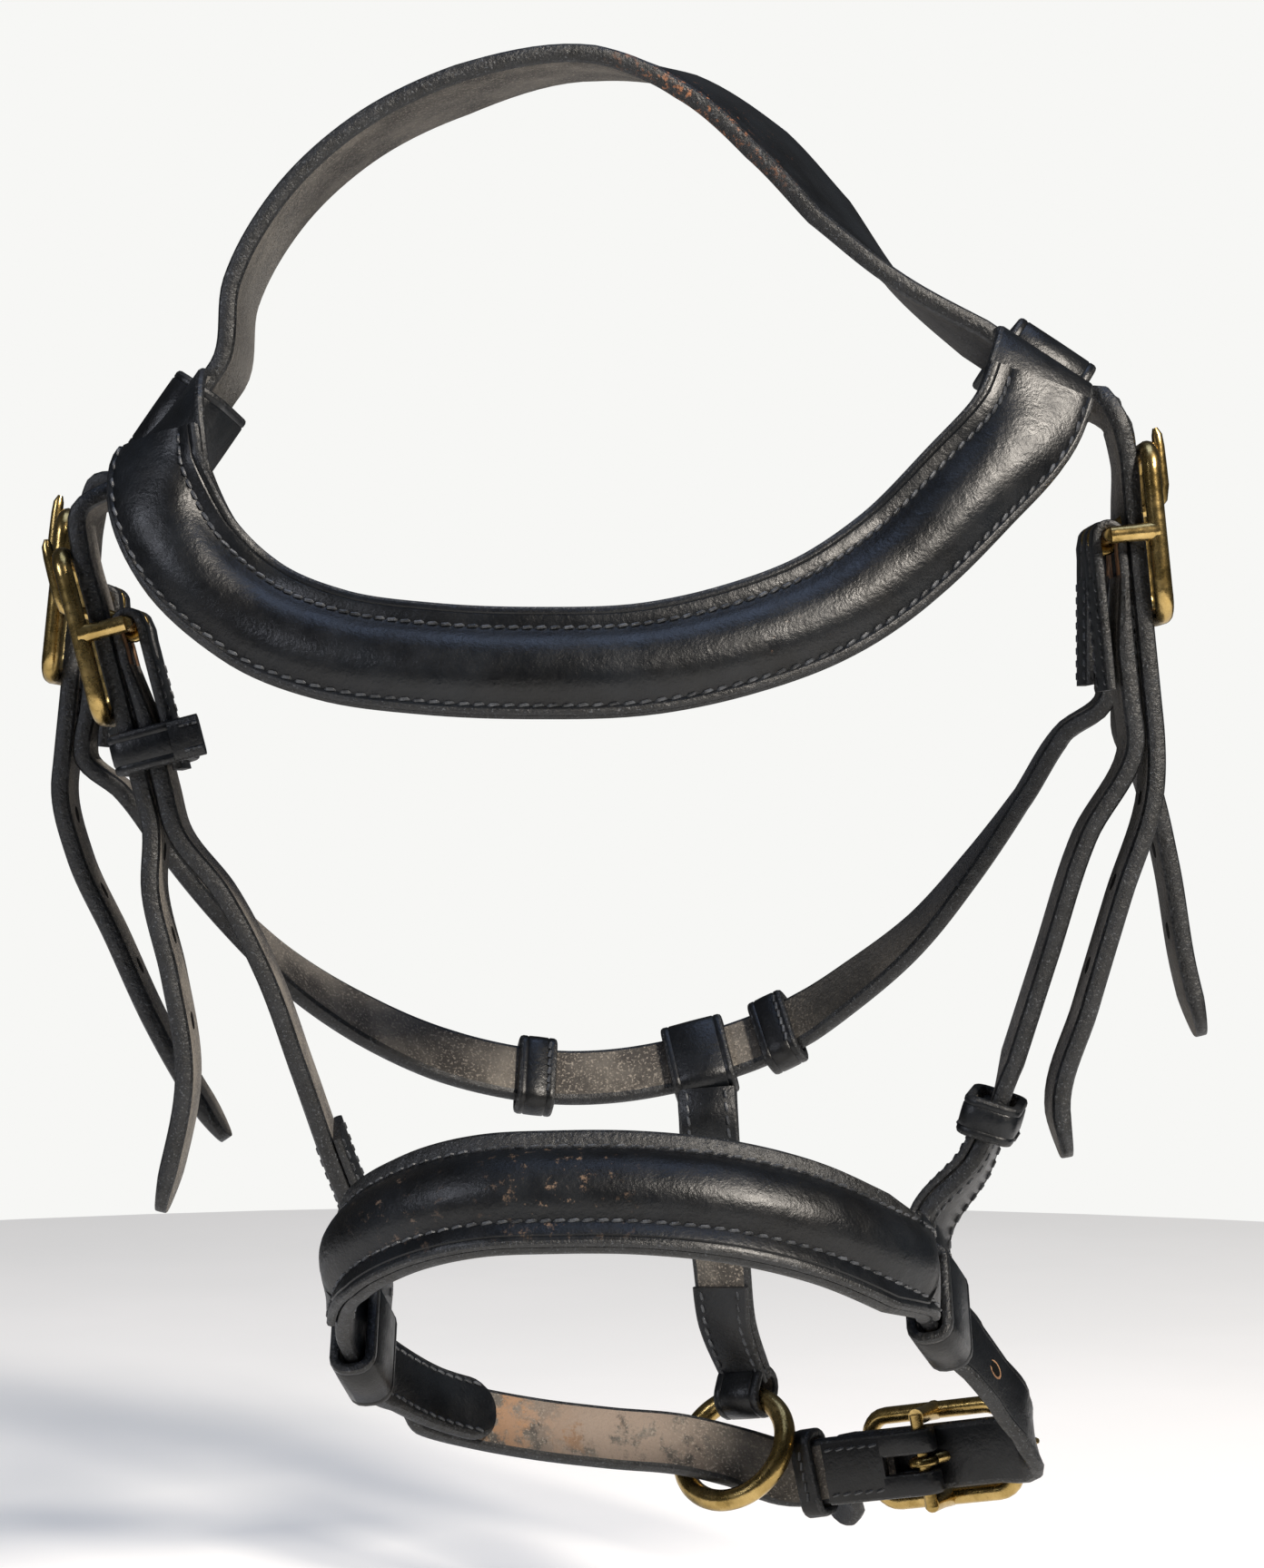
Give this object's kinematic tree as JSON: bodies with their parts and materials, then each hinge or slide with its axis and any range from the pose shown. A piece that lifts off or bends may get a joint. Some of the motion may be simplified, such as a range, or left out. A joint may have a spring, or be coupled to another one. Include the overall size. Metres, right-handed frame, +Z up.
{
  "type": "leather headcollar",
  "caption": "Black leather in-hand headcollar for a small pony or foal, with padded browband and noseband, brass whole buckles and a lead ring.",
  "frame": {"origin": "underside of the headpiece's highest point, halfway across the strap's width, where a hook carries it", "axes": "+Z up as it hangs, -Y towards the front of the head, +X to the side of the noseband buckle"},
  "size_m": [0.2651, 0.1294, 0.3364],
  "materials": {
    "black_leather": "waxed satin",
    "felt_padding": "matt",
    "brass": "polished, slightly dulled"
  },
  "bodies": {
    "headpiece": {"crown_strap": "black_leather", "browband_lining": "black_leather", "browband_facing": "black_leather", "browband_padding": "felt_padding"},
    "hanging_straps": {"left_cheek_point": "black_leather", "left_throat_point": "black_leather", "right_cheek_point": "black_leather", "right_throat_point": "black_leather", "noseband_strap": "black_leather", "noseband_facing": "black_leather", "noseband_back_strap": "black_leather", "left_cheekpiece": "black_leather", "right_cheekpiece": "black_leather", "throat_strap": "black_leather", "connector_strap": "black_leather", "noseband_runner": "black_leather", "noseband_padding": "felt_padding", "left_cheek_buckle": "brass", "left_throat_buckle": "brass", "right_cheek_buckle": "brass", "right_throat_buckle": "brass", "noseband_buckle": "brass"},
    "left_cheek_tongue_body": {"left_cheek_tongue": "brass"},
    "left_throat_tongue_body": {"left_throat_tongue": "brass"},
    "right_cheek_tongue_body": {"right_cheek_tongue": "brass"},
    "right_throat_tongue_body": {"right_throat_tongue": "brass"},
    "noseband_tongue_body": {"noseband_tongue": "brass"},
    "left_keeper_body": {"left_cheek_keeper": "black_leather"},
    "right_keeper_body": {"right_cheek_keeper": "black_leather"},
    "left_runner_body": {"left_throat_runner": "black_leather"},
    "right_runner_body": {"right_throat_runner": "black_leather"},
    "ring_body": {"lead_ring": "brass"}
  },
  "joints": [
    {"name": "headpiece_flex", "type": "hinge", "parent": "headpiece", "child": "hanging_straps", "pos_m": [-0.09, 0, -0.079], "axis": [0.9979, 0, 0.0644], "range_deg": [-3, 3]},
    {"name": "left_cheek_tongue_hinge", "type": "hinge", "parent": "hanging_straps", "child": "left_cheek_tongue_body", "pos_m": [-0.101, -0.014, -0.124], "axis": [0, -1, 0], "range_deg": [0, 4]},
    {"name": "left_throat_tongue_hinge", "type": "hinge", "parent": "hanging_straps", "child": "left_throat_tongue_body", "pos_m": [-0.111, 0.016, -0.117], "axis": [0, -1, 0], "range_deg": [0, 4]},
    {"name": "right_cheek_tongue_hinge", "type": "hinge", "parent": "hanging_straps", "child": "right_cheek_tongue_body", "pos_m": [0.111, -0.014, -0.105], "axis": [0, 1, 0], "range_deg": [0, 4]},
    {"name": "right_throat_tongue_hinge", "type": "hinge", "parent": "hanging_straps", "child": "right_throat_tongue_body", "pos_m": [0.114, 0.016, -0.103], "axis": [0, 1, 0], "range_deg": [0, 4]},
    {"name": "noseband_tongue_hinge", "type": "hinge", "parent": "hanging_straps", "child": "noseband_tongue_body", "pos_m": [0.075, 0.022, -0.314], "axis": [-0.1728, 0.1016, 0.9797], "range_deg": [0, 4]},
    {"name": "left_keeper_slide", "type": "slide", "parent": "hanging_straps", "child": "left_keeper_body", "axis": [-0.2496, 0, 0.9684], "range_m": [-0.002, 0.001]},
    {"name": "right_keeper_slide", "type": "slide", "parent": "hanging_straps", "child": "right_keeper_body", "axis": [0.2896, -0.1034, 0.9515], "range_m": [-0.003, 0.004]},
    {"name": "left_runner_slide", "type": "slide", "parent": "hanging_straps", "child": "left_runner_body", "axis": [0.9849, 0.1223, -0.1223], "range_m": [-0.003, 0.002]},
    {"name": "right_runner_slide", "type": "slide", "parent": "hanging_straps", "child": "right_runner_body", "axis": [0.8595, -0.2146, 0.4638], "range_m": [-0.0015, 0.0015]},
    {"name": "ring_turn", "type": "hinge", "parent": "hanging_straps", "child": "ring_body", "pos_m": [0.03203, 0.04131, -0.31503], "axis": [0.5493, 0.5883, -0.5935], "continuous": true}
  ]
}
